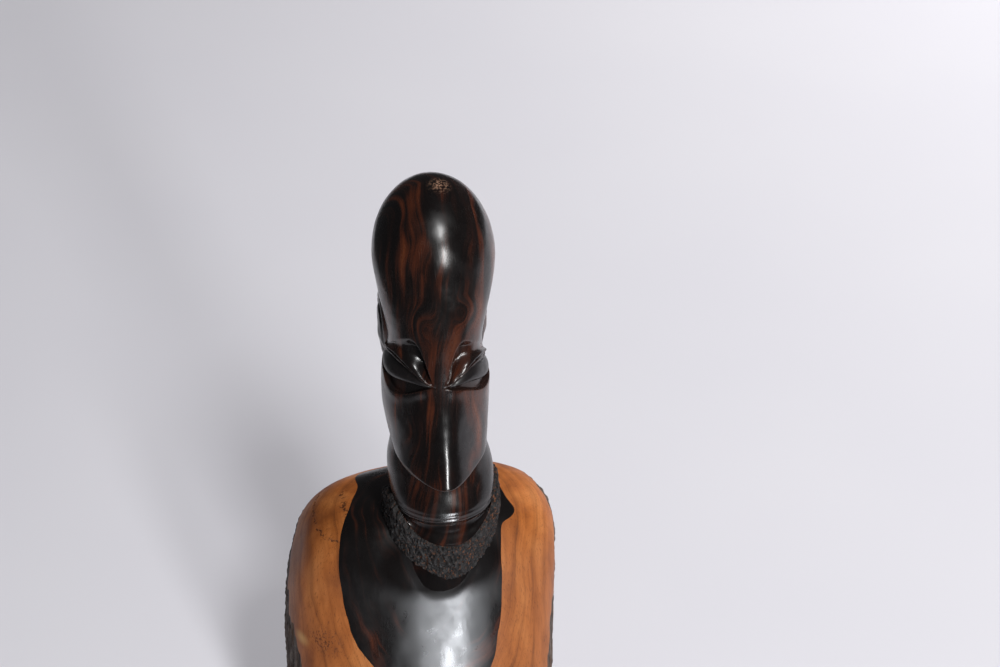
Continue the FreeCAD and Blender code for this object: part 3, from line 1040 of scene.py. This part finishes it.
def beard_material():
    material, shader, place = start("gouged_beard")
    mottled = grain(place, (1.4, 1.4, 2.4), 4.0, 0.6)
    colour = ramp(mottled, [(0.3, (0.009, 0.008, 0.008)), (0.5, (0.019, 0.018, 0.018)),
                            (0.72, (0.040, 0.036, 0.035))])
    pit = mark(place, "pit")
    # painted shade: the gouges darkened by their depth
    colour = blend(remap(pit, 0.15, 0.75, 0.0, 0.8), colour, (0.007, 0.006, 0.006, 1))
    # red flecks of fresh wood, more of them on the figure's left
    fresh = times(remap(grain(place, (1.1, 1.1, 1.5), 3.0), 0.56, 0.66),
                  remap(axis_of(place, 0), -20, 24, 0.25, 0.8))
    fresh = times(fresh, remap(pit, 0.0, 0.25, 0.25, 1.0))
    colour = blend(fresh, colour, (0.17, 0.060, 0.022, 1))
    surface(shader, colour, remap(mottled, 0.3, 0.7, 0.62, 0.42), 0.2)
    bumped(shader, plus(grain(place, (0.35, 0.35, 1.2), 3.0), times(mottled, 0.8)), 0.00022)
    return material


# hairline checks across the sapwood: height, x from and to, slope
SAPWOOD_CHECKS = [(171.0, -43, -29, 0.08), (163.0, -49, -32, 0.12)]
# on the right shoulder: dark specks, and a pale scuff below them
SPECKS = ((-47, 24, 118), 13, (1, 1, 1.3))
SCUFF = ((-57, 15, 113), 7, (1, 1, 1.6))


def sapwood_cracks(place):
    """1 along the hairline checks."""
    x, z = axis_of(place, 0), axis_of(place, 2)
    crooked = times(sums("SUBTRACT", grain(place, (3.5, 3.5, 30), 4.0, 0.65), 0.5), 5.0)
    cracks = 0.0
    for height, low_x, high_x, slope in SAPWOOD_CHECKS:
        line = sums("SUBTRACT", z, sums("MULTIPLY_ADD", x, slope, height - slope * low_x))
        line = sums("ABSOLUTE", plus(line, crooked))
        window = times(remap(x, low_x, low_x + 3), remap(x, high_x - 4, high_x, 1.0, 0.0))
        cracks = sums("MAXIMUM", cracks, times(remap(line, 0.05, 0.55, 1.0, 0.0), window))
    return times(cracks, remap(grain(place, (1.3, 1.3, 1.3), 3.0), 0.42, 0.55))


def sapwood_material():
    material, shader, place = start("oiled_sapwood")
    bent = bent_place(place, (30, 30, 80), (14, 14, 0))
    broad = grain(bent, (16, 16, 90), 3.0)
    colour = ramp(broad, [(0.30, (0.26, 0.074, 0.016)), (0.48, (0.42, 0.132, 0.030)),
                          (0.62, (0.50, 0.176, 0.046)), (0.80, (0.58, 0.235, 0.078))])
    rings = ring_bands(ring_radius(bent, BODY_HEART), bent, (1.7, 1, 120), 3.0, 0.6)
    colour = blend(0.8, colour, ramp(rings, [(0.3, (0.62, 0.56, 0.50)), (0.55, WHITE)]), "MULTIPLY")
    late_wood = times(remap(rings, 0.44, 0.34, 0.0, 0.6), remap(broad, 0.30, 0.55, 0.9, 0.5))
    colour = blend(late_wood, colour, (0.15, 0.048, 0.014, 1))
    fibre = grain(bent, (0.6, 0.6, 36), 3.0, 0.7)
    colour = blend(remap(fibre, 0.54, 0.68, 0.0, 0.6), colour, (0.13, 0.040, 0.012, 1))
    stain = grain(place, (20, 20, 26), 4.0, 0.6)
    colour = blend(remap(stain, 0.52, 0.72, 0.0, 0.5), colour, (0.20, 0.060, 0.016, 1))
    specks = times(near(place, *SPECKS), remap(grain(place, (1.0, 1.0, 1.3), 3.0, 0.7), 0.54, 0.60))
    dark = sums("MAXIMUM", sapwood_cracks(place), specks)
    colour = blend(times(dark, 0.85), colour, (0.035, 0.012, 0.006, 1))
    colour = blend(times(near(place, *SCUFF), 0.6), colour, (0.66, 0.40, 0.14, 1))
    colour = blend(remap(mark(place, "curve"), 0.25, 1.0, 0.0, 0.7), colour, (0.10, 0.040, 0.018, 1))
    surface(shader, colour, plus(remap(stain, 0.3, 0.7, 0.44, 0.56), times(dark, 0.3)), 0.25, 0.05, 0.28)
    bumped(shader, sums("SUBTRACT", times(fibre, 0.25), times(dark, 1.6)), 0.00008)
    return material


def rind_material():
    material, shader, place = start("weathered_rind")
    fissure = grain(place, (2.6, 2.6, 15), 5.0, 0.65)
    colour = ramp(fissure, [(0.30, (0.022, 0.014, 0.011)), (0.46, (0.075, 0.050, 0.038)),
                            (0.60, (0.140, 0.105, 0.085)), (0.78, (0.24, 0.195, 0.165))])
    patch = grain(place, (9, 9, 22), 3.0)
    colour = blend(remap(patch, 0.5, 0.7, 0.0, 0.65), colour, (0.16, 0.080, 0.040, 1))
    # painted shade: the bark's hollows darkened
    colour = blend(remap(mark(place, "curve"), -0.1, -0.9, 0.0, 0.8), colour, (0.014, 0.010, 0.008, 1))
    surface(shader, colour, remap(fissure, 0.3, 0.7, 0.95, 0.72))
    bumped(shader, plus(fissure, times(grain(place, (0.8, 0.8, 2.2), 4.0, 0.7), 0.6)), 0.0009)
    return material


def floor_material():
    material, shader, place = start("pale_floor")
    soft = grain(place, (240, 240, 240), 2.0)
    surface(shader, ramp(soft, [(0.3, (0.735, 0.725, 0.775)), (0.7, (0.755, 0.745, 0.79))]), 0.7)
    return material


def paint(pieces, material):
    for piece in pieces:
        piece.data.materials.clear()
        piece.data.materials.append(material)


# ---- camera, light and floor
CAMERA_PLACE = (-103.8, 656.1, 750.7)
CAMERA_LOOKS_DOWN = 36.0
CAMERA_AZIMUTH = -12.0
CAMERA_ROLL = 1.5
CAMERA_LENS = 70
CAMERA_SENSOR = 36


def in_frame(x, forward, height):
    return Vector((x, -forward, height)) * UNIT + ORIGIN


def make_camera():
    data = bpy.data.cameras.new("camera")
    data.lens = CAMERA_LENS
    data.sensor_width = CAMERA_SENSOR
    camera = add_object("camera", data)
    tilt = Matrix.Rotation(math.radians(90 - CAMERA_LOOKS_DOWN), 4, "X")
    roll = Matrix.Rotation(math.radians(CAMERA_ROLL), 4, "Z")
    turn = Matrix.Rotation(math.radians(CAMERA_AZIMUTH), 4, "Z")
    camera.matrix_world = Matrix.Translation(in_frame(*CAMERA_PLACE)) @ turn @ tilt @ roll
    bpy.context.scene.camera = camera


def make_light(name, azimuth, elevation, distance, width, tall, power, colour=(1, 1, 1), target=(5, 12, 200)):
    """A soft rectangle facing a figure point; azimuth turns from the front towards +X."""
    data = bpy.data.lights.new(name, "AREA")
    data.shape = "RECTANGLE"
    data.size = width
    data.size_y = tall
    data.energy = power
    data.color = colour
    light = add_object(name, data)
    light.visible_camera = False
    turn, rise = math.radians(azimuth), math.radians(elevation)
    toward = Vector((math.sin(turn) * math.cos(rise), -math.cos(turn) * math.cos(rise), math.sin(rise)))
    facing = toward.to_track_quat("Z", "Y").to_matrix().to_4x4()
    light.matrix_world = Matrix.Translation(in_frame(*target) + toward * distance) @ facing
    return light


HEAD_TARGET = (6, 10, 300)
CHEST_TARGET = (8, 34, 124)
WORLD_STRENGTH = 0.06


def make_lights():
    """Two panes whose shine shows, a glow low in the chest, and two that only light."""
    make_light("window_high", 13, 50, 1.5, 0.16, 0.34, 10.5, target=HEAD_TARGET)
    make_light("window_low", 13, 20, 1.5, 0.16, 0.42, 10.5, target=HEAD_TARGET)
    card = make_light("table_glow", 11, -9, 0.22, 0.045, 0.05, 0.34, (0.92, 0.95, 1.0), CHEST_TARGET)
    card.visible_diffuse = False
    wall = make_light("bright_wall", 128, 24, 1.9, 1.6, 1.2, 29, (1.0, 0.985, 0.975))
    above = make_light("soft_above", 120, 62, 2.0, 1.1, 1.1, 9, (0.97, 0.98, 1.0))
    wall.visible_glossy = False
    above.visible_glossy = False
    world = bpy.data.worlds.new("dim_room")
    world.use_nodes = True
    background = world.node_tree.nodes["Background"]
    feed(background, 0, (0.93, 0.94, 1.0, 1))
    feed(background, 1, WORLD_STRENGTH)
    bpy.context.scene.world = world


FLOOR_HALF = 5.0
FLOOR_SPLIT_FORWARD = 320
FLOOR_SPLIT_LEFT = -350


def make_floor():
    """One pale plane in three parts; only floor_back shows in reflections."""
    low = ORIGIN.z
    corner = in_frame(FLOOR_SPLIT_LEFT, FLOOR_SPLIT_FORWARD, 0)
    pale = floor_material()
    parts = (("floor_front", (-FLOOR_HALF, FLOOR_HALF), (-FLOOR_HALF, corner.y)),
             ("floor_left", (-FLOOR_HALF, corner.x), (corner.y, FLOOR_HALF)),
             ("floor_back", (corner.x, FLOOR_HALF), (corner.y, FLOOR_HALF)))
    for name, (left, right), (near_y, far_y) in parts:
        mesh = bpy.data.meshes.new(name)
        mesh.from_pydata([(left, near_y, low), (right, near_y, low), (right, far_y, low), (left, far_y, low)],
                         [], [(0, 1, 2, 3)])
        mesh.materials.append(pale)
        floor = add_object(name, mesh)
        floor.visible_glossy = name == "floor_back"


def main():
    make_camera()
    make_lights()
    make_floor()
    torso, *rest = make_torso()
    face = [make_head(), make_ear("right"), make_ear("left"), make_muzzle(), make_lower_lip()]
    neck = make_neck()
    face_wood = heartwood_material("heartwood_face", HEAD_HEART, HEAD_KNOTS, 0.85, 0.24, [CROWN_WORN],
                                   MOUTH_DULL)
    paint(face, face_wood)
    paint([torso, neck], heartwood_material("heartwood_body", BODY_HEART, [], -0.5, 0.30, [], NECK_DULL))
    paint([make_eye("right"), make_eye("left")], eye_material())
    paint([make_beard()], beard_material())
    paint(rest[:2], sapwood_material())
    paint(rest[2:], rind_material())
    bpy.context.scene.view_settings.view_transform = "Standard"


main()
